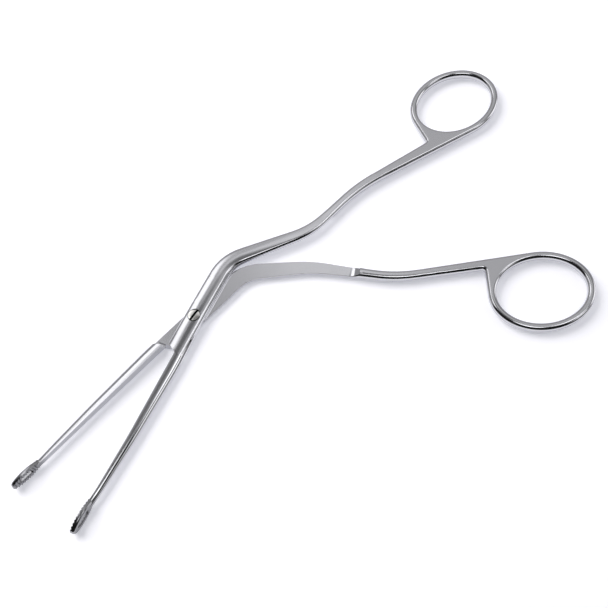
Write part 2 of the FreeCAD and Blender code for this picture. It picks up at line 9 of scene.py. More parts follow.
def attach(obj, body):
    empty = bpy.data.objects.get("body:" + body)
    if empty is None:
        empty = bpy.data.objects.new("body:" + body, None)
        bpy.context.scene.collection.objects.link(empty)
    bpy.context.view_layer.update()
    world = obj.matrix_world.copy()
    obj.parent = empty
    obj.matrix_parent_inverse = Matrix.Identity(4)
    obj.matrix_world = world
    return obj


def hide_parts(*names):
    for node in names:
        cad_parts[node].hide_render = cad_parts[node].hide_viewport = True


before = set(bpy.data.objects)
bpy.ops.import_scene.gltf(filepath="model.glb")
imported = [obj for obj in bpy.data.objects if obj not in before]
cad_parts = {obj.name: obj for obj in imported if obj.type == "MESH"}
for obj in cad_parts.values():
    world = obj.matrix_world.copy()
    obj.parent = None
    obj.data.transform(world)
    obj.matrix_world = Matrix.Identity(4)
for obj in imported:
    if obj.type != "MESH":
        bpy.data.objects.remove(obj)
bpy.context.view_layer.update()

# Camera: it stands where the photograph was taken from, a little over the tips of the jaws, and looks down
# along the handles. Its place is in metres and its turn in degrees.
camera_data = bpy.data.cameras.new("camera")
camera_data.sensor_width = 36.0
camera_data.lens = 47.56
camera_data.clip_start = 0.01
camera_data.clip_end = 20.0
camera = bpy.data.objects.new("camera", camera_data)
camera.location = (-0.093184, -0.062399, 0.237820)
camera.rotation_euler = Euler([math.radians(a) for a in (26.253, 4.481, -55.550)])
bpy.context.scene.collection.objects.link(camera)
bpy.context.scene.camera = camera


# Upper half: one forging of stainless steel. Its blade is crowned on top and ground flat where it laps over
# the other half, its jaw ring is pierced and grooved, and the screw's seat is bored last. It is drawn in
# millimetres about the pivot, with the shut jaw along -X on the -Y side and the lap at z = 0.
MM = 0.001
PIVOT = Vector((-30.92416, 46.26336, 2.35))
REST_HALF_OPENING = 8.8
NOSE = 13.6
NOSE_BACK = 0.4
NOSE_LEAN = 0.618
SHANK_HALF_THICKNESS = 1.45
SHANK_EDGE = 1.15
CORNER_STEPS = 6
CROWN_STEPS = 10


def eased(at, table, window=1.5):
    """A size read from a table of places and sizes, with its corners smoothed over a short window."""
    def straight(x):
        if x <= table[0][0]:
            return table[0][1]
        for (x0, v0), (x1, v1) in zip(table, table[1:]):
            if x <= x1:
                return v0 + (v1 - v0) * (x - x0) / (x1 - x0)
        return table[-1][1]
    return (straight(at - window) + straight(at - window / 2) + straight(at)
            + straight(at + window / 2) + straight(at + window)) / 5


def profile(half, top, bottom, corner, crown, foot):
    """A cross section, crowned on top and flat below, as points (across, up) from the right."""
    lean = math.asin((half - corner) / (crown - corner))
    up = top - crown + math.sqrt((crown - corner) ** 2 - (half - corner) ** 2)
    right = []
    for k in range(CORNER_STEPS + 1):
        a = (math.pi / 2 - lean) * k / CORNER_STEPS
        right.append((half - corner + corner * math.cos(a), up + corner * math.sin(a)))
    over = []
    for k in range(1, CROWN_STEPS):
        a = lean * (1 - 2 * k / CROWN_STEPS)
        over.append((crown * math.sin(a), top - crown + crown * math.cos(a)))
    left = [(-across, height) for across, height in reversed(right)]
    under = []
    for k in range(CORNER_STEPS + 1):
        a = math.pi / 2 * k / CORNER_STEPS
        under.append((-half + foot - foot * math.cos(a), bottom + foot - foot * math.sin(a)))
    back = [(-across, height) for across, height in reversed(under)]
    return right + over + left + under + back


def skin(rows, close_start=True, close_end=True):
    """A tube of quads over rows of (points, distance along), with flat ends and a map along and round it."""
    shape = bmesh.new()
    layer = shape.loops.layers.uv.new("grain")
    loops = [[shape.verts.new(p) for p in points] for points, _ in rows]
    count = len(loops[0])
    around = [0.0]
    for k in range(count):
        around.append(around[-1] + (rows[0][0][(k + 1) % count] - rows[0][0][k]).length)
    for (lower, upper), (start, end) in zip(zip(loops, loops[1:]), zip(rows, rows[1:])):
        for k in range(count):
            n = (k + 1) % count
            face = shape.faces.new((lower[k], lower[n], upper[n], upper[k]))
            for corner, spot in zip(face.loops, ((start[1], around[k]), (start[1], around[k + 1]),
                                                 (end[1], around[k + 1]), (end[1], around[k]))):
                corner[layer].uv = spot
    for wanted, ring, order in ((close_start, loops[0], -1), (close_end, loops[-1], 1)):
        if wanted:
            face = shape.faces.new(ring[::order])
            for corner in face.loops:
                corner[layer].uv = (corner.vert.co.y, corner.vert.co.z)
    bmesh.ops.recalc_face_normals(shape, faces=shape.faces)
    return shape


def inward(points, closed):
    """The unit normals of a plan outline, to the left of its way."""
    normals = []
    count = len(points)
    for k, point in enumerate(points):
        before = points[k - 1] if k or closed else point
        after = points[(k + 1) % count] if k < count - 1 or closed else point
        way = (after - before).normalized()
        normals.append(Vector((-way.y, way.x)))
    return normals


EDGE_MAP_STEP = 0.2


def half_of_plate(shape, layer, outer, hole, level, outer_edge, hole_edge, sign, root):
    """One face of a plate with rounded edges: the rounding strips and the flat, on the side told by sign."""
    def strip(points, closed, edge):
        rows = []
        normals = inward(points, closed)
        if not closed:
            normals[0] = (points[-1] - points[0]).normalized()
            normals[-1] = -normals[0]
        steps = [(edge * (1 - math.cos(math.pi / 2 * k / CORNER_STEPS)),
                  edge * math.sin(math.pi / 2 * k / CORNER_STEPS)) for k in range(CORNER_STEPS + 1)]
        for inset, rise in steps:
            rows.append([shape.verts.new((p.x + n.x * inset, p.y + n.y * inset, sign * (level - edge + rise)))
                         for p, n in zip(points, normals)])
        along = [0.0]
        for k in range(len(points)):
            along.append(along[-1] + (points[(k + 1) % len(points)] - points[k]).length)
        spans = len(points) if closed else len(points) - 1
        for number, (low, high) in enumerate(zip(rows, rows[1:])):
            for k in range(spans):
                n = (k + 1) % len(points)
                ring = (low[k], low[n], high[n], high[k])
                near, far = number * EDGE_MAP_STEP, (number + 1) * EDGE_MAP_STEP
                spots = ((along[k], near), (along[k + 1], near), (along[k + 1], far), (along[k], far))
                face = shape.faces.new(ring if sign > 0 else ring[::-1])
                for corner, spot in zip(face.loops, spots if sign > 0 else spots[::-1]):
                    corner[layer].uv = spot
        return rows

    outer_rows = strip(outer, root is None, outer_edge)
    flat = list(outer_rows[-1])
    if root is not None:
        flat += [shape.verts.new((p.x, p.y, p.z)) for p in root]
    borders = [flat]
    inner_rows = None
    if hole:
        inner_rows = strip(hole, True, hole_edge)
        borders.append(inner_rows[-1])
    everything = [v for border in borders for v in border]
    for triangle in tessellate_polygon([[v.co.copy() for v in border] for border in borders]):
        corners = [everything[k] for k in triangle]
        normal = (corners[1].co - corners[0].co).cross(corners[2].co - corners[0].co)
        if normal.length < 1e-9:
            continue
        face = shape.faces.new(corners if normal.z * sign > 0 else corners[::-1])
        for corner in face.loops:
            corner[layer].uv = (corner.vert.co.x, corner.vert.co.y)
    return outer_rows[0], inner_rows[0] if inner_rows else None


def plate(outer, hole, low, high, low_edges, high_edges, root_high=None, root_low=None):
    """A flat plate with a hole. An outline runs with its metal on the left; a root leaves that end open."""
    shape = bmesh.new()
    layer = shape.loops.layers.uv.new("grain")
    middle = (low + high) / 2
    level = (high - low) / 2
    tops = half_of_plate(shape, layer, outer, hole, level, *high_edges, 1, root_high)
    bottoms = half_of_plate(shape, layer, outer, hole, level, *low_edges, -1, root_low)
    for top, bottom, closed in ((tops[0], bottoms[0], root_high is None), (tops[1], bottoms[1], True)):
        if top is None:
            continue
        for k in range(len(top) if closed else len(top) - 1):
            n = (k + 1) % len(top)
            face = shape.faces.new((bottom[k], bottom[n], top[n], top[k]))
            for corner in face.loops:
                corner[layer].uv = (corner.vert.co.x + corner.vert.co.y, corner.vert.co.z)
    bmesh.ops.translate(shape, verts=shape.verts, vec=(0, 0, middle))
    return shape


def arc(centre, radius, start, end, count):
    """Points of an arc from one angle to another, both ends included."""
    return [centre + radius * Vector((math.cos(start + (end - start) * k / count),
                                      math.sin(start + (end - start) * k / count))) for k in range(count + 1)]


def rounded(before, corner, after, radius, count):
    """Points of the arc that rounds a corner."""
    back = (before - corner).normalized()
    ahead = (after - corner).normalized()
    half_angle = back.angle(ahead) / 2
    centre = corner + (back + ahead).normalized() * (radius / math.sin(half_angle))
    first = corner + back * (radius / math.tan(half_angle)) - centre
    last = corner + ahead * (radius / math.tan(half_angle)) - centre
    start = math.atan2(first.y, first.x)
    sweep = math.atan2(first.x * last.y - first.y * last.x, first.dot(last))
    return arc(centre, radius, start, start + sweep, count)


def left_of(start, end):
    """The unit direction to the left of a way."""
    way = (end - start).normalized()
    return Vector((-way.y, way.x))


def mitre(before, corner, after, distance):
    """The corner of a line that runs at a distance to the left of two runs."""
    first = left_of(before, corner)
    bisector = (first + left_of(corner, after)).normalized()
    return corner + bisector * (distance / bisector.dot(first))


def touch_angle(centre, tilt, long_half, short_half, outside, side):
    """The angle on an oval where the line from an outside point touches it."""
    spot = Matrix.Rotation(-tilt, 2) @ (outside - centre)
    reach = math.hypot(spot.x / long_half, spot.y / short_half)
    around = math.atan2(spot.y / short_half, spot.x / long_half)
    return around + side * math.acos(1 / reach)


def run(start, end, step):
    """Points of a straight run, both ends included."""
    count = max(1, round((end - start).length / step))
    return [start + (end - start) * k / count for k in range(count + 1)]


def resample(points, count):
    """Evenly spaced points along a line."""
    lengths = [0.0]
    for a, b in zip(points, points[1:]):
        lengths.append(lengths[-1] + (b - a).length)
    result = []
    for k in range(count + 1):
        wanted = lengths[-1] * k / count
        n = 0
        while n < len(points) - 2 and lengths[n + 1] < wanted:
            n += 1
        share = (wanted - lengths[n]) / (lengths[n + 1] - lengths[n])
        result.append(points[n] + (points[n + 1] - points[n]) * share)
    return result


def points_past(points, origin, ahead, reach):
    """The points of a line that lie further on than a reach."""
    return [p for p in points if (p - origin).dot(ahead) > reach]


def oval_point(centre, tilt, long_half, short_half, angle):
    """A point of a tilted oval."""
    level = Vector((long_half * math.cos(angle), short_half * math.sin(angle)))
    return centre + Matrix.Rotation(tilt, 2) @ level


ROOT_HALF_WIDTH = 1.75
ELBOW_HALF_WIDTH = 1.55
ELBOW_STEPS = 24
WEB_CORNER_RADIUS = 1.0
WEB_CORNER_STEPS = 10
HOLE_LONG_HALF = 14.55
HOLE_SHORT_HALF = 11.5
RIM_WIDTH = 2.7
RIM_STEPS = 150
LAP_STEP = 1.0


def handle_plan(lap_end, sideways, elbow, elbow_radius, web, ring, tilt):
    """A handle from above: the shank's two sides, the ring's outline, the web's corner and the hole."""
    elbow_left = mitre(lap_end, elbow, web, ELBOW_HALF_WIDTH)
    elbow_right = mitre(lap_end, elbow, web, -ELBOW_HALF_WIDTH)
    long_half, short_half = HOLE_LONG_HALF + RIM_WIDTH, HOLE_SHORT_HALF + RIM_WIDTH
    rim_start = touch_angle(ring, tilt, long_half, short_half, elbow_right, 1)
    rim_end = touch_angle(ring, tilt, long_half, short_half, web, -1)
    sweep = (rim_end - rim_start) % (2 * math.pi)
    rim = [oval_point(ring, tilt, long_half, short_half, rim_start + sweep * k / RIM_STEPS)
           for k in range(RIM_STEPS + 1)]
    left_root = lap_end + sideways * ROOT_HALF_WIDTH
    right_root = lap_end - sideways * ROOT_HALF_WIDTH
    right_bend = rounded(right_root, elbow_right, rim[0], elbow_radius, ELBOW_STEPS)
    left_bend = rounded(left_root, elbow_left, web, elbow_radius, ELBOW_STEPS)
    web_corner = rounded(rim[-1], web, elbow_left, WEB_CORNER_RADIUS, WEB_CORNER_STEPS)
    right_side = run(right_root, right_bend[0], LAP_STEP)[:-1] + right_bend
    left_side = run(left_root, left_bend[0], LAP_STEP)[:-1] + left_bend
    hole = [oval_point(ring, tilt, HOLE_LONG_HALF, HOLE_SHORT_HALF, -2 * math.pi * k / RIM_STEPS)
            for k in range(RIM_STEPS)]
    return left_side, right_side, rim, web_corner, hole


BEND = Vector((22.6, 0.0))
BEND_RADIUS = 14.0
BEND_STEPS = 16
KNEE_STEPS = 20
BLADE_STEP = 1.2
LAP_PLANE = 0.03
RAMP_RADIUS = 4.9
RAMP_STEPS = 12


def blade_line(knee, knee_radius, lap_end, elbow):
    """The middle of the blade from its nose to the end of the lap's ramp, and the marks along it."""
    bend_angle = math.atan2((knee - BEND).y, (knee - BEND).x)
    setback = BEND_RADIUS * math.tan(abs(bend_angle) / 2)
    line = run(Vector((-NOSE - NOSE_BACK, 0.0)), Vector((BEND.x - setback, 0.0)), BLADE_STEP)
    bend_mark = len(line) - 1
    first_bend = rounded(Vector((0.0, 0.0)), BEND, knee, BEND_RADIUS, BEND_STEPS)
    knee_bend = rounded(BEND, knee, elbow, knee_radius, KNEE_STEPS)
    line += first_bend[1:]
    line += run(first_bend[-1], knee_bend[0], BLADE_STEP)[1:-1]
    line += knee_bend
    line += run(knee_bend[-1], lap_end, LAP_STEP)[1:]
    lap_mark = len(line) - 1
    drop = SHANK_HALF_THICKNESS + LAP_PLANE
    ramp_length = math.sqrt(RAMP_RADIUS ** 2 - (RAMP_RADIUS - drop) ** 2)
    ahead = (elbow - knee).normalized()
    line += [lap_end + ahead * ramp_length * k / RAMP_STEPS for k in range(1, RAMP_STEPS + 1)]
    return line, bend_mark, lap_mark


NOSE_HALF_WIDTH = 3.3
NOSE_TOP = 1.9
NOSE_FADE = 6.0
BLADE_HALF_WIDTH = 3.2
BLADE_TOP = 2.3
BLADE_CORNER = 1.1
BLADE_CROWN_RADIUS = 9.0
BLADE_FOOT = 0.12
LAP_END_HALF_WIDTH = 1.74
LAP_END_TOP = 1.43
LAP_END_CORNER = 0.9
SHANK_HALF_WIDTH = 1.72
SETTLING = 3
FLAT_CROWN_RADIUS = 500.0


def blade_rows(line, bend_mark, lap_mark):
    """The sections of the blade, which grows narrow and flat along the lap and thick again on the ramp."""
    distances = [0.0]
    for a, b in zip(line, line[1:]):
        distances.append(distances[-1] + (b - a).length)
    pivot_at = NOSE + NOSE_BACK
    bend_at = distances[bend_mark]
    lap_at = distances[lap_mark]
    settled_at = lap_at + SETTLING
    halves = [(0, NOSE_HALF_WIDTH), (pivot_at + SETTLING, BLADE_HALF_WIDTH), (bend_at, BLADE_HALF_WIDTH),
              (lap_at, LAP_END_HALF_WIDTH), (settled_at, SHANK_HALF_WIDTH)]
    tops = [(0, NOSE_TOP), (pivot_at + SETTLING, BLADE_TOP), (bend_at, BLADE_TOP), (lap_at, LAP_END_TOP),
            (settled_at, SHANK_HALF_THICKNESS)]
    corners = [(0, BLADE_CORNER), (pivot_at, BLADE_CORNER), (bend_at, BLADE_CORNER), (lap_at, LAP_END_CORNER),
               (settled_at, SHANK_EDGE)]
    crowns = [(0, 1 / BLADE_CROWN_RADIUS), (bend_at, 1 / BLADE_CROWN_RADIUS), (lap_at, 1 / FLAT_CROWN_RADIUS)]
    rows = []
    for k, (point, along) in enumerate(zip(line, distances)):
        before, after = line[max(k - 1, 0)], line[min(k + 1, len(line) - 1)]
        side = left_of(before, after)
        bottom = LAP_PLANE
        foot = BLADE_FOOT
        if k > lap_mark:
            t = along - lap_at
            bottom = LAP_PLANE - RAMP_RADIUS + math.sqrt(max(RAMP_RADIUS ** 2 - t ** 2, 0.0))
            bottom = max(bottom, -SHANK_HALF_THICKNESS)
            foot = BLADE_FOOT + (SHANK_EDGE - BLADE_FOOT) * ((k - lap_mark) / RAMP_STEPS) ** 2
        section = profile(eased(along, halves), eased(along, tops), bottom, eased(along, corners),
                          1 / eased(along, crowns), foot)
        fade = max(0.0, 1.0 - along / NOSE_FADE)
        row = []
        for across, up in section:
            spot = point - side * across
            spot = spot + Vector((fade * max(0.0, NOSE_BACK + NOSE_LEAN * spot.y), 0.0))
            row.append(Vector((spot.x, spot.y, up)))
        rows.append((row, along))
    return rows


def shank_rows(left_part, right_part, last_centre, along):
    """The sections of the shank, which follow the plan of its two sides."""
    rows = []
    for left, right in zip(left_part, right_part):
        centre = (left + right) / 2
        along += (centre - last_centre).length
        last_centre = centre
        half = (left - right).length / 2
        across_way = (right - left).normalized()
        section = profile(half, SHANK_HALF_THICKNESS, -SHANK_HALF_THICKNESS, SHANK_EDGE, FLAT_CROWN_RADIUS,
                          SHANK_EDGE)
        rows.append(([Vector((centre.x + across_way.x * a, centre.y + across_way.y * a, up))
                      for a, up in section], along))
    return rows


SHANK_STATIONS = 40
SHANK_START = 4.2
SHANK_GAP = 1.0
WEB_STEP = 1.5


def arm_and_ring(knee, knee_radius, lap_length, elbow, elbow_radius, web, ring, tilt):
    """One half's blade and shank, a skin with an open end, and the outlines of its web and finger ring."""
    ahead = (elbow - knee).normalized()
    sideways = left_of(knee, elbow)
    lap_end = knee + ahead * lap_length
    plan = handle_plan(lap_end, sideways, elbow, elbow_radius, web, ring, math.radians(tilt))
    left_side, right_side, rim, web_corner, hole = plan
    line, bend_mark, lap_mark = blade_line(knee, knee_radius, lap_end, elbow)
    rows = blade_rows(line, bend_mark, lap_mark)
    left_part, right_part = (
        resample([lap_end + sideways * side * SHANK_HALF_WIDTH + ahead * SHANK_START]
                 + points_past(points, lap_end, ahead, SHANK_START + SHANK_GAP), SHANK_STATIONS)
        for points, side in ((left_side, 1), (right_side, -1)))
    rows += shank_rows(left_part, right_part, line[-1], rows[-1][1])
    outer = run(right_part[-1], rim[0], WEB_STEP)[:-1] + rim
    outer += run(rim[-1], web_corner[0], WEB_STEP)[1:-1] + web_corner
    outer += run(web_corner[-1], left_part[-1], WEB_STEP)[1:]
    return skin(rows, True, False), outer, hole, rows[-1][0]


JAW_ROWS = 110
JAW_EASE = 3.0
BACK_STEPS = 36
BACK_FULLNESS = 0.86


def jaw_shank(stations):
    """The round-backed shank of a jaw. A station gives the place, inner face, outer back and thickness."""
    faces = [(x, inner) for x, inner, outer, thick in stations]
    backs = [(x, outer) for x, inner, outer, thick in stations]
    thicks = [(x, thick) for x, inner, outer, thick in stations]
    rows = []
    first, last = stations[0][0], stations[-1][0]
    for k in range(JAW_ROWS + 1):
        x = first + (last - first) * k / JAW_ROWS
        thick = eased(x, thicks, JAW_EASE)
        inner = eased(x, faces, JAW_EASE)
        deep = eased(x, backs, JAW_EASE) - inner
        section = []
        for j in range(BACK_STEPS + 1):
            a = math.pi * j / BACK_STEPS
            across = math.copysign(abs(math.cos(a)) ** BACK_FULLNESS, math.cos(a)) * thick / 2
            section.append((across, inner + deep * math.sin(a) ** BACK_FULLNESS))
        rows.append(([Vector((x, -up, across)) for across, up in section], x))
    return skin(rows)


JAW_TIP = 76.2
TIP_RADIUS = 1.7
TIP_STEPS = 16
RING_WIDEST = 71.0
RING_CREST = 2.35
RING_SIDE_STEPS = 26
RING_NECK_HALF = 0.9
RING_THICKNESS = 1.6
RING_FACE_EDGES = (0.1, 0.1)
RING_BACK_EDGES = (0.75, 0.3)
RING_HOLE_MIDDLE = 71.2
RING_HOLE_REACH = 1.75
RING_HOLE_RADIUS = 0.95
RING_HOLE_STEPS = 14


def jaw_ring(face):
    """The oval open ring at the tip of a jaw, rounded on its back and flat on its gripping face."""
    reach = JAW_TIP - TIP_RADIUS - RING_WIDEST
    side = (reach ** 2 + RING_CREST ** 2 - TIP_RADIUS ** 2) / (2 * (RING_CREST - TIP_RADIUS))
    depth = side - RING_CREST
    span = side - TIP_RADIUS
    neck_run = math.sqrt(side ** 2 - (depth + RING_NECK_HALF) ** 2)
    centre = Vector((-RING_WIDEST, -depth))
    start = math.atan2(RING_NECK_HALF + depth, neck_run)
    touch = math.atan2(depth * side / span, -reach * side / span)
    upper_side = arc(centre, side, start, touch, RING_SIDE_STEPS)
    tip_centre = Vector((-JAW_TIP + TIP_RADIUS, 0.0))
    first = upper_side[-1] - tip_centre
    angle = math.atan2(first.y, first.x)
    tip = arc(tip_centre, TIP_RADIUS, angle, 2 * math.pi - angle, TIP_STEPS)
    lower_side = [Vector((p.x, -p.y)) for p in reversed(upper_side)]
    outline = upper_side + tip[1:-1] + lower_side
    hole = []
    for reach, turn in ((RING_HOLE_REACH, 0.0), (-RING_HOLE_REACH, math.pi)):
        end = Vector((-RING_HOLE_MIDDLE + reach, 0.0))
        hole += arc(end, RING_HOLE_RADIUS, turn + math.pi / 2, turn - math.pi / 2, RING_HOLE_STEPS)
    shape = plate(outline, hole, face, face + RING_THICKNESS, RING_FACE_EDGES, RING_BACK_EDGES)
    for vert in shape.verts:
        vert.co = (vert.co.x, -vert.co.z, vert.co.y)
    return shape


def as_object(name, shape, material):
    """A mesh object made of a bmesh, in triangles so that it cuts and joins cleanly."""
    mesh = bpy.data.meshes.new(name)
    bmesh.ops.triangulate(shape, faces=shape.faces)
    shape.to_mesh(mesh)
    shape.free()
    mesh.materials.append(material)
    piece = bpy.data.objects.new(name, mesh)
    bpy.context.scene.collection.objects.link(piece)
    return piece


def combine(base, other, operation):
    """Join or cut two closed meshes and drop the second."""
    modifier = base.modifiers.new("work", "BOOLEAN")
    modifier.operation = operation
    modifier.solver = "EXACT"
    modifier.object = other
    finish_modifiers(base)
    bpy.data.objects.remove(other)


def finish_modifiers(piece):
    """Turn a piece and its modifiers into a plain mesh."""
    bpy.context.view_layer.update()
    result = bpy.data.meshes.new_from_object(piece.evaluated_get(bpy.context.evaluated_depsgraph_get()))
    piece.modifiers.clear()
    old = piece.data
    piece.data = result
    bpy.data.meshes.remove(old)


GROOVE_COUNT = 10
GROOVE_PITCH = 1.0
GROOVE_HALF = 0.4
GROOVE_DEPTH = 0.35
FIRST_GROOVE = 75.2


def serration_cutter(face, material):
    """Ten wedges in a row, made by Geometry Nodes, that cut the cross grooves of the gripping face."""
    wedge = bmesh.new()
    clear, reach = 0.6, 3.0
    corners = [(-GROOVE_HALF, 0.0), (0.0, -GROOVE_DEPTH), (GROOVE_HALF, 0.0), (GROOVE_HALF, clear),
               (-GROOVE_HALF, clear)]
    front = [wedge.verts.new((x, y, reach)) for x, y in corners]
    back = [wedge.verts.new((x, y, -reach)) for x, y in corners]
    wedge.faces.new(front)
    wedge.faces.new(back[::-1])
    for k in range(len(corners)):
        n = (k + 1) % len(corners)
        wedge.faces.new((front[k], back[k], back[n], front[n]))
    wedge.loops.layers.uv.new("grain")
    bmesh.ops.recalc_face_normals(wedge, faces=wedge.faces)
    wedge_piece = as_object("wedge", wedge, material)

    tree = bpy.data.node_groups.new("serrations", "GeometryNodeTree")
    tree.interface.new_socket("Geometry", in_out="INPUT", socket_type="NodeSocketGeometry")
    count = tree.interface.new_socket("Count", in_out="INPUT", socket_type="NodeSocketInt")
    pitch = tree.interface.new_socket("Pitch", in_out="INPUT", socket_type="NodeSocketVector")
    start = tree.interface.new_socket("Start", in_out="INPUT", socket_type="NodeSocketVector")
    tree.interface.new_socket("Geometry", in_out="OUTPUT", socket_type="NodeSocketGeometry")
    source = tree.nodes.new("NodeGroupInput")
    line = tree.nodes.new("GeometryNodeMeshLine")
    line.mode = "OFFSET"
    copies = tree.nodes.new("GeometryNodeInstanceOnPoints")
    solid = tree.nodes.new("GeometryNodeRealizeInstances")
    finish = tree.nodes.new("GeometryNodeSetMaterial")
    finish.inputs["Material"].default_value = material
    target = tree.nodes.new("NodeGroupOutput")
    tree.links.new(source.outputs["Count"], line.inputs["Count"])
    tree.links.new(source.outputs["Pitch"], line.inputs["Offset"])
    tree.links.new(source.outputs["Start"], line.inputs["Start Location"])
    tree.links.new(line.outputs["Mesh"], copies.inputs["Points"])
    tree.links.new(source.outputs["Geometry"], copies.inputs["Instance"])
    tree.links.new(copies.outputs["Instances"], solid.inputs["Geometry"])
    tree.links.new(solid.outputs["Geometry"], finish.inputs["Geometry"])
    tree.links.new(finish.outputs["Geometry"], target.inputs["Geometry"])
    modifier = wedge_piece.modifiers.new("serrations", "NODES")
    modifier.node_group = tree
    modifier[count.identifier] = GROOVE_COUNT
    modifier[pitch.identifier] = (GROOVE_PITCH, 0.0, 0.0)
    modifier[start.identifier] = (-FIRST_GROOVE, -face, 0.0)
    finish_modifiers(wedge_piece)
    return wedge_piece


TURNING_STEPS = 64


def turned(profile_points, material, name):
    """A round solid about the pivot, from (radius, height) points that start and end on the axis."""
    shape = bmesh.new()
    shape.loops.layers.uv.new("grain")
    angles = [2 * math.pi * k / TURNING_STEPS for k in range(TURNING_STEPS)]
    rings = []
    for radius, height in profile_points:
        if radius == 0:
            rings.append([shape.verts.new((0, 0, height))] * TURNING_STEPS)
        else:
            rings.append([shape.verts.new((radius * math.cos(a), radius * math.sin(a), height))
                          for a in angles])
    for low, high in zip(rings, rings[1:]):
        for k in range(TURNING_STEPS):
            n = (k + 1) % TURNING_STEPS
            corners = []
            for vert in (low[k], low[n], high[n], high[k]):
                if vert not in corners:
                    corners.append(vert)
            if len(corners) > 2:
                shape.faces.new(corners)
    bmesh.ops.recalc_face_normals(shape, faces=shape.faces)
    return as_object(name, shape, material)


def block(corners, low, high, material, name):
    """An upright prism on a plan polygon."""
    shape = bmesh.new()
    shape.loops.layers.uv.new("grain")
    under = [shape.verts.new((x, y, low)) for x, y in corners]
    over = [shape.verts.new((x, y, high)) for x, y in corners]
    shape.faces.new(under[::-1])
    shape.faces.new(over)
    for k in range(len(corners)):
        n = (k + 1) % len(corners)
        shape.faces.new((under[k], under[n], over[n], over[k]))
    bmesh.ops.recalc_face_normals(shape, faces=shape.faces)
    return as_object(name, shape, material)


WELD = 0.008
ROOM_HIGH = 0.6
ROOM_HALF = 8.0
WALL_CLEAR = 0.2


def forging(name, arm, jaw_stations, ring_face, bores, material):
    """One half: arm and jaw joined, the lap cut clear, the gripping face grooved and the pivot bored."""
    arm_shape, outer, hole, ends = arm
    top_of_end = ends[CORNER_STEPS + 1:CORNER_STEPS + CROWN_STEPS]
    edges = (SHANK_EDGE, SHANK_EDGE)
    web_and_ring = plate(outer, hole, -SHANK_HALF_THICKNESS, SHANK_HALF_THICKNESS, edges, edges,
                         list(reversed(top_of_end)), [])
    web_mesh = bpy.data.meshes.new("web")
    web_and_ring.to_mesh(web_mesh)
    web_and_ring.free()
    arm_shape.from_mesh(web_mesh)
    bpy.data.meshes.remove(web_mesh)
    bmesh.ops.remove_doubles(arm_shape, verts=arm_shape.verts, dist=WELD)
    bmesh.ops.recalc_face_normals(arm_shape, faces=arm_shape.faces)
    piece = as_object(name, arm_shape, material)

    jaw = as_object("jaw", jaw_shank(jaw_stations), material)
    wall = NOSE + WALL_CLEAR
    room = block([(-wall - NOSE_LEAN * ROOM_HALF, -ROOM_HALF), (6, -ROOM_HALF), (6, ROOM_HALF),
                  (-wall - NOSE_BACK, ROOM_HALF), (-wall - NOSE_BACK, 0), (-wall, 0)],
                 -ROOM_HALF, ROOM_HIGH, material, "room")
    combine(jaw, room, "DIFFERENCE")
    ring = as_object("ring", jaw_ring(ring_face), material)
    combine(ring, serration_cutter(ring_face, material), "DIFFERENCE")
    combine(jaw, ring, "UNION")
    combine(piece, jaw, "UNION")
    for points in bores:
        combine(piece, turned(points, material, "bore"), "DIFFERENCE")
    return piece


HALF_SHARP_ANGLE = 32


def place(piece, upper):
    """Move the finished mesh from the working place to its place in the part, and smooth its round faces."""
    turn = math.radians(REST_HALF_OPENING)
    if upper:
        matrix = Matrix.Rotation(turn, 4, "Z")
    else:
        matrix = Matrix.Rotation(-turn, 4, "Z") @ Matrix.Rotation(math.pi, 4, "X")
    piece.data.transform(Matrix.Scale(MM, 4) @ Matrix.Translation(PIVOT) @ matrix)
    for polygon in piece.data.polygons:
        polygon.use_smooth = True
    piece.data.set_sharp_from_angle(angle=math.radians(HALF_SHARP_ANGLE))
    modifier = piece.modifiers.new("normals", "WEIGHTED_NORMAL")
    modifier.keep_sharp = True
    finish_modifiers(piece)


def made_node(nodes, kind, values):
    """A shader node with values on its named sockets."""
    node = nodes.new(kind)
    for socket, value in values.items():
        node.inputs[socket].default_value = value
    return node


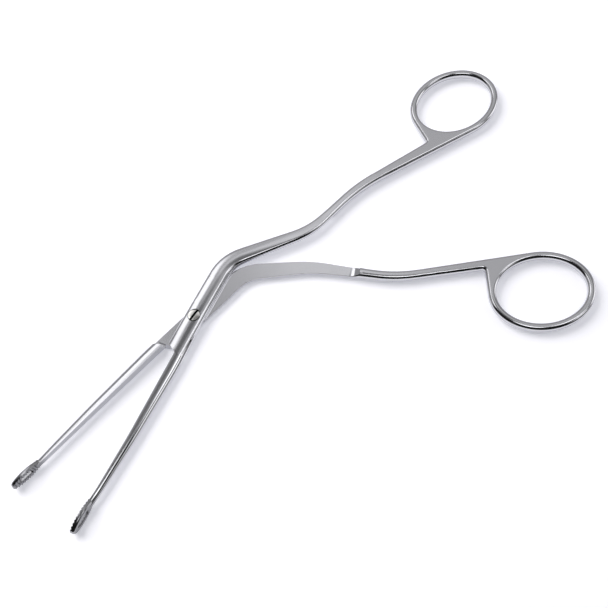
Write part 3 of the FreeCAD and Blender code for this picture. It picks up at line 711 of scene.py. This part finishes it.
def steel(name, tint, roughness, flat_roughness, grain_scale, grain_depth, painted_shade_span):
    """Stainless steel: fine grain along the map, soft blotches, duller ground flats, and painted shade that
    darkens one end.
    """
    material = bpy.data.materials.new(name)
    material.use_nodes = True
    nodes = material.node_tree.nodes
    links = material.node_tree.links
    shader = nodes["Principled BSDF"]
    shader.inputs["Metallic"].default_value = 1.0
    coords = nodes.new("ShaderNodeTexCoord")

    # long fine grain, which follows the map round and along each shank
    stretch = made_node(nodes, "ShaderNodeMapping", {"Scale": (grain_scale * 0.06, grain_scale, 1.0)})
    links.new(coords.outputs["UV"], stretch.inputs["Vector"])
    grain = made_node(nodes, "ShaderNodeTexNoise", {"Scale": 1.0, "Detail": 4.0})
    links.new(stretch.outputs["Vector"], grain.inputs["Vector"])
    blotch = made_node(nodes, "ShaderNodeTexNoise", {"Scale": 140.0, "Detail": 3.0})
    links.new(coords.outputs["Object"], blotch.inputs["Vector"])

    # roughness: the grain's own, more on the faces that were ground level, a little more in the blotches
    rough = made_node(nodes, "ShaderNodeMapRange", {
        "From Min": 0.3, "From Max": 0.7, "To Min": roughness * 0.8, "To Max": roughness * 1.25})
    links.new(grain.outputs["Fac"], rough.inputs["Value"])
    facing = nodes.new("ShaderNodeSeparateXYZ")
    links.new(coords.outputs["Normal"], facing.inputs["Vector"])
    level = nodes.new("ShaderNodeMath")
    level.operation = "ABSOLUTE"
    links.new(facing.outputs["Z"], level.inputs[0])
    ground = made_node(nodes, "ShaderNodeMapRange", {
        "From Min": 0.93, "From Max": 0.995, "To Min": 0.0, "To Max": flat_roughness})
    ground.interpolation_type = "SMOOTHSTEP"
    links.new(level.outputs["Value"], ground.inputs["Value"])
    rough_and_ground = nodes.new("ShaderNodeMath")
    rough_and_ground.operation = "ADD"
    links.new(ground.outputs["Result"], rough_and_ground.inputs[0])
    links.new(rough.outputs["Result"], rough_and_ground.inputs[1])
    rough_all = made_node(nodes, "ShaderNodeMath", {1: 0.05})
    rough_all.operation = "MULTIPLY_ADD"
    links.new(blotch.outputs["Fac"], rough_all.inputs[0])
    links.new(rough_and_ground.outputs["Value"], rough_all.inputs[2])
    links.new(rough_all.outputs["Value"], shader.inputs["Roughness"])

    # colour: the tint, lighter and darker with the grain, and darkened with painted shade past a place along
    # one axis
    colour = nodes.new("ShaderNodeMix")
    colour.data_type = "RGBA"
    colour.inputs["A"].default_value = tuple(c * 0.97 for c in tint) + (1.0,)
    colour.inputs["B"].default_value = tuple(min(1.0, c * 1.03) for c in tint) + (1.0,)
    links.new(grain.outputs["Fac"], colour.inputs["Factor"])
    axis, clear_at, dark_at, darkest = painted_shade_span
    place_on = nodes.new("ShaderNodeSeparateXYZ")
    links.new(coords.outputs["Object"], place_on.inputs["Vector"])
    # painted shade: the colour is darkened past a place along one axis
    painted_shade = made_node(nodes, "ShaderNodeMapRange", {
        "From Min": clear_at, "From Max": dark_at, "To Min": 1.0, "To Max": darkest})
    painted_shade.interpolation_type = "SMOOTHSTEP"
    links.new(place_on.outputs[axis], painted_shade.inputs["Value"])
    shade = nodes.new("ShaderNodeVectorMath")
    shade.operation = "SCALE"
    links.new(colour.outputs["Result"], shade.inputs["Vector"])
    links.new(painted_shade.outputs["Result"], shade.inputs["Scale"])
    links.new(shade.outputs["Vector"], shader.inputs["Base Color"])

    bump = made_node(nodes, "ShaderNodeBump", {"Strength": 0.25, "Distance": grain_depth})
    links.new(grain.outputs["Fac"], bump.inputs["Height"])
    links.new(bump.outputs["Normal"], shader.inputs["Normal"])
    return material


# The steel of both halves, with painted shade that darkens the jaw rings.
satin = steel("satin_steel", (0.62, 0.62, 0.64), 0.07, 0.06, 11.0, 0.000004, ("X", -0.0925, -0.0965, 0.55))
UPPER_RING_FACE = -0.0537
UPPER_JAW = [(-67.43, 0.061, 1.5, 2.03), (-64.0, 0.5, 2.3, 2.3), (-44.0, 0.85, 3.4, 2.8),
             (-18.0, 0.5, 3.95, 3.4), (1.0, 0.3, 3.3, 4.1)]
SCREW_SEAT = [(0, -1), (1.44, -1), (1.44, 1.36), (2.09, 1.36), (2.09, 2.0), (2.3, 2.32), (2.3, 4), (0, 4)]
upper_arm = arm_and_ring(knee=Vector((44.73, -20.92)), knee_radius=28.0, lap_length=7.0,
                         elbow=Vector((67.33, -28.37)), elbow_radius=60.0, web=Vector((94.25, -43.36)),
                         ring=Vector((114.45, -46.13)), tilt=-26.65)
upper = forging("upper_half_skin", upper_arm, UPPER_JAW, UPPER_RING_FACE, [SCREW_SEAT], satin)
place(upper, True)
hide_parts("upper_half")
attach(upper, "upper")

# Lower half: the second forging, of the same steel and turned over, so that its blade lies underneath. Its
# shank turns off more steeply and its finger ring lies nearer. The screw is tapped into its blade.
LOWER_RING_FACE = 0.03
LOWER_JAW = [(-67.0, 0.0, 1.25, 2.0), (-64.0, 0.0, 1.7, 2.3), (-44.0, 0.23, 2.85, 2.8),
             (-18.0, 0.3, 3.7, 3.4), (1.0, 0.3, 3.2, 4.1)]
TAPPED_HOLE = [(0, -1), (1.2, -1), (1.2, 4), (0, 4)]
lower_arm = arm_and_ring(knee=Vector((39.0, 15.83)), knee_radius=45.0, lap_length=13.1,
                         elbow=Vector((54.19, 39.88)), elbow_radius=45.0, web=Vector((75.4, 60.0)),
                         ring=Vector((81.14, 78.4)), tilt=36.2)
lower = forging("lower_half_skin", lower_arm, LOWER_JAW, LOWER_RING_FACE, [TAPPED_HOLE], satin)
place(lower, False)
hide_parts("lower_half")
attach(lower, "lower")

# Pivot screw: turned from a slightly warmer steel, with a plain stem for the thread, a shoulder that the
# upper half turns on, and a low head that lies level in its blade. A straight slot for the driver is milled
# across the head. Whatever lies below the top of the head, as in the slot and round the head's edge, is
# darkened with painted shade.
screw_steel = steel("screw_steel", (0.72, 0.71, 0.68), 0.07, 0.08, 9.0, 0.000004,
                    ("Z", 0.00448, 0.00442, 0.06))
SCREW_PROFILE = [(0, -2.3), (1.0, -2.3), (1.2, -2.1), (1.2, -0.6), (1.4, -0.6), (1.4, 1.4), (2.05, 1.4),
                 (2.05, 2.0), (1.9, 2.2), (1.2, 2.28), (0, 2.3)]
SLOT_HALF_WIDTH = 0.4
SLOT_HALF_LENGTH = 4.0
SLOT_FLOOR = 1.5
SCREW_SHARP_ANGLE = 25
screw = turned(SCREW_PROFILE, screw_steel, "pivot_screw_skin")
slot_cutter = block([(-SLOT_HALF_LENGTH, -SLOT_HALF_WIDTH), (SLOT_HALF_LENGTH, -SLOT_HALF_WIDTH),
                     (SLOT_HALF_LENGTH, SLOT_HALF_WIDTH), (-SLOT_HALF_LENGTH, SLOT_HALF_WIDTH)],
                    SLOT_FLOOR, 4, screw_steel, "slot")
combine(screw, slot_cutter, "DIFFERENCE")
screw.data.transform(Matrix.Scale(MM, 4) @ Matrix.Translation(PIVOT))
for polygon in screw.data.polygons:
    polygon.use_smooth = True
screw.data.set_sharp_from_angle(angle=math.radians(SCREW_SHARP_ANGLE))
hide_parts("pivot_screw")
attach(screw, "lower")

# Floor: a wide sheet of pale matt paper that the forceps lie on. Where the camera or the steel sees it, it
# glows a little with a cool tint, so that it comes out white and the shadows on it lilac.
FLOOR_HALF = 3.0
PAPER_GLOW = 0.36
floor_mesh = bpy.data.meshes.new("floor")
floor_mesh.from_pydata([(-FLOOR_HALF, -FLOOR_HALF, 0), (FLOOR_HALF, -FLOOR_HALF, 0),
                        (FLOOR_HALF, FLOOR_HALF, 0), (-FLOOR_HALF, FLOOR_HALF, 0)], [], [(0, 1, 2, 3)])
floor = bpy.data.objects.new("floor", floor_mesh)
bpy.context.scene.collection.objects.link(floor)
paper = bpy.data.materials.new("paper")
paper.use_nodes = True
paper_nodes = paper.node_tree.nodes
paper_links = paper.node_tree.links
paper_shader = paper_nodes["Principled BSDF"]
paper_shader.inputs["Base Color"].default_value = (0.86, 0.86, 0.9, 1.0)
paper_shader.inputs["Roughness"].default_value = 0.9
paper_shader.inputs["Emission Color"].default_value = (0.92, 0.93, 1.0, 1.0)
paper_path = paper_nodes.new("ShaderNodeLightPath")
paper_seen = paper_nodes.new("ShaderNodeMath")
paper_seen.operation = "MAXIMUM"
paper_links.new(paper_path.outputs["Is Camera Ray"], paper_seen.inputs[0])
paper_links.new(paper_path.outputs["Is Glossy Ray"], paper_seen.inputs[1])
paper_glow = made_node(paper_nodes, "ShaderNodeMath", {1: PAPER_GLOW})
paper_glow.operation = "MULTIPLY"
paper_links.new(paper_seen.outputs["Value"], paper_glow.inputs[0])
paper_links.new(paper_glow.outputs["Value"], paper_shader.inputs["Emission Strength"])
floor_mesh.materials.append(paper)

# Key light: one large soft box, high over the upper left of the picture, that lays soft shadows to the lower
# right. The steel doesn't mirror it, because all that the steel mirrors is made in the next section.
PHOTO_TURN = math.radians(-55.55)
KEY_PLACE = (-420, 260, 560)
KEY_SIZE = 0.6
KEY_POWER = 4.6


def from_photo(x, y, z):
    """A place told from the pivot, with X to the right of the picture and Y up it, in millimetres."""
    c, s = math.cos(PHOTO_TURN), math.sin(PHOTO_TURN)
    return (PIVOT + Vector((c * x - s * y, s * x + c * y, z))) * MM


key_data = bpy.data.lights.new("key", "AREA")
key_data.shape = "SQUARE"
key_data.size = KEY_SIZE
key_data.energy = KEY_POWER
key_data.color = (1.0, 0.98, 0.95)
key = bpy.data.objects.new("key", key_data)
key.location = from_photo(*KEY_PLACE)
key.rotation_mode = "QUATERNION"
key.rotation_quaternion = (PIVOT * MM - key.location).to_track_quat("-Z", "Y")
key.visible_glossy = False
bpy.context.scene.collection.objects.link(key)

# Room: the grey studio that the polished steel mirrors, while the camera sees plain white. A row is one soft
# round screen: its direction from the pivot in the photo's axes, the angles in degrees where it is full and
# where it has gone, and its brightness. A later screen covers an earlier one.
ROOM_GREY = (0.36, 0.36, 0.37, 1.0)
SCREENS = [
    ((0.0, 0.5, 0.87), 16, 30, 0.56),
    ((-0.03, 0.49, 0.87), 3, 7, 0.95),
    ((-0.42, 0.55, 0.72), 8, 13, 1.7),
    ((-0.42, 0.27, 0.87), 7, 10, 1.7),
    ((-0.24, 0.43, 0.87), 1, 4, 0.38),
    ((-0.06, 0.25, 0.966), 7, 12, 0.16),
    ((0.0, -1.0, 0.12), 84, 94, 0.02),
    ((0.38, 0.12, 0.92), 6, 10, 2.0),
    ((0.05, -0.14, 0.99), 8, 12, 2.2),
    ((0.80, -0.25, 0.55), 12, 20, 0.45),
    ((0.68, -0.12, 0.72), 5, 10, 1.6),
    ((0.50, 0.50, 0.70), 7, 15, 0.25),
    ((0.87, 0.25, 0.36), 12, 20, 1.5),
]
room = bpy.data.worlds.new("studio")
bpy.context.scene.world = room
room.use_nodes = True
room_nodes, room_links = room.node_tree.nodes, room.node_tree.links
room_coords = room_nodes.new("ShaderNodeTexCoord")
photo_axes = made_node(room_nodes, "ShaderNodeMapping", {"Rotation": (0.0, 0.0, -PHOTO_TURN)})
room_links.new(room_coords.outputs["Generated"], photo_axes.inputs["Vector"])


def screen_over(behind, middle, full_angle, gone_angle, brightness):
    """A soft round screen laid over what is behind it in the room."""
    nearness = made_node(room_nodes, "ShaderNodeVectorMath", {1: Vector(middle).normalized()})
    nearness.operation = "DOT_PRODUCT"
    room_links.new(photo_axes.outputs["Vector"], nearness.inputs[0])
    edge = made_node(room_nodes, "ShaderNodeMapRange", {
        "From Min": math.cos(math.radians(gone_angle)), "From Max": math.cos(math.radians(full_angle))})
    edge.interpolation_type = "SMOOTHSTEP"
    room_links.new(nearness.outputs["Value"], edge.inputs["Value"])
    blend = room_nodes.new("ShaderNodeMix")
    blend.data_type = "RGBA"
    room_links.new(edge.outputs["Result"], blend.inputs["Factor"])
    if behind is None:
        blend.inputs["A"].default_value = ROOM_GREY
    else:
        room_links.new(behind, blend.inputs["A"])
    blend.inputs["B"].default_value = (brightness, brightness, brightness * 1.02, 1.0)
    return blend.outputs["Result"]


mirrored = None
for screen in SCREENS:
    mirrored = screen_over(mirrored, *screen)
room_path = room_nodes.new("ShaderNodeLightPath")
seen = room_nodes.new("ShaderNodeMix")
seen.data_type = "RGBA"
room_links.new(room_path.outputs["Is Camera Ray"], seen.inputs["Factor"])
room_links.new(mirrored, seen.inputs["A"])
seen.inputs["B"].default_value = (1, 1, 1, 1)
room_links.new(seen.outputs["Result"], room_nodes["Background"].inputs["Color"])

# Finish: plain colours without a film look.
scene = bpy.context.scene
scene.view_settings.view_transform = "Standard"
